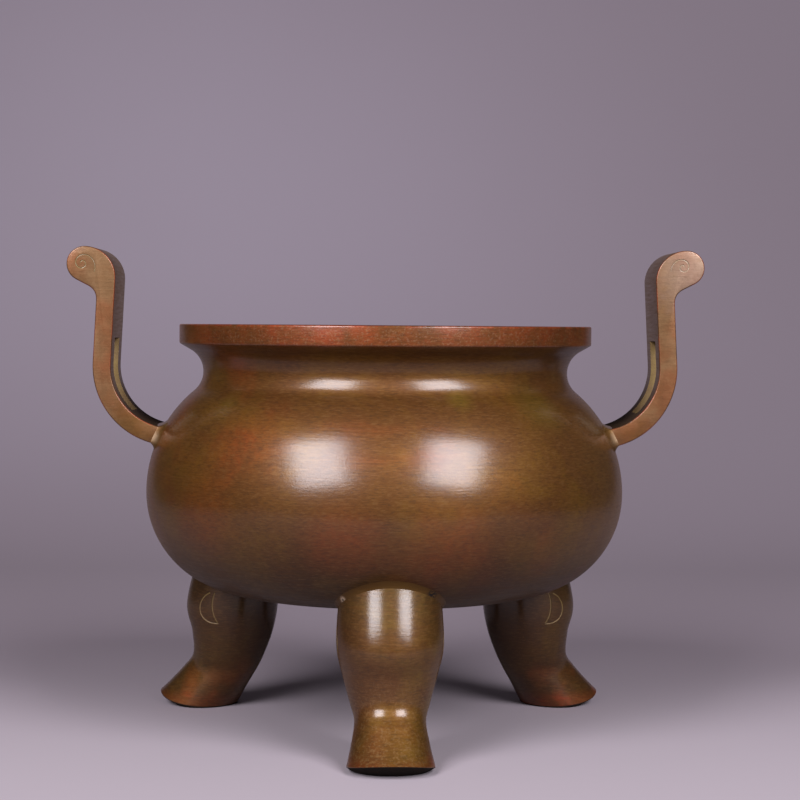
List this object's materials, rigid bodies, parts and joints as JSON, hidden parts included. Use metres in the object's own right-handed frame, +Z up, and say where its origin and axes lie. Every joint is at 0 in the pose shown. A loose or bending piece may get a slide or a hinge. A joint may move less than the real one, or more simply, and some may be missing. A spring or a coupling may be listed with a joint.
{
  "type": "tripod incense burner",
  "caption": "Round cast-copper incense burner: deep bowl with a hollow neck and flat rim, upright slotted strap handles with rolled heads, on outward-pointing hoofed legs.",
  "frame": {"origin": "on the ground plane under the middle of the whole object's box; the vessel's own axis stands 4.4 mm behind it, because one hoof reaches forward", "axes": "+X from the left handle to the right handle, +Y from the front leg to the back, +Z up, out of the mouth"},
  "size_m": [0.2274, 0.1814, 0.1728],
  "materials": {
    "vessel_copper": "olive-brown patina over satin-polished copper, with redder blotches",
    "leg_copper": "golden-olive patina over satin-polished copper, redder at the hoof",
    "handle_copper": "satin copper with a pinkish-tan patina and rubbed bright edges",
    "braze": "rubbed brass-yellow filler metal",
    "clay": "fired casting-core clay"
  },
  "bodies": {
    "root": {"vessel_body": "vessel_copper", "right_handle": "handle_copper", "right_handle_braze": "braze", "left_handle": "handle_copper", "left_handle_braze": "braze", "front_leg": "leg_copper", "front_leg_braze": "braze", "front_leg_core": "clay", "rear_right_leg": "leg_copper", "rear_right_leg_braze": "braze", "rear_right_leg_core": "clay", "rear_left_leg": "leg_copper", "rear_left_leg_braze": "braze", "rear_left_leg_core": "clay"}
  },
  "joints": []
}
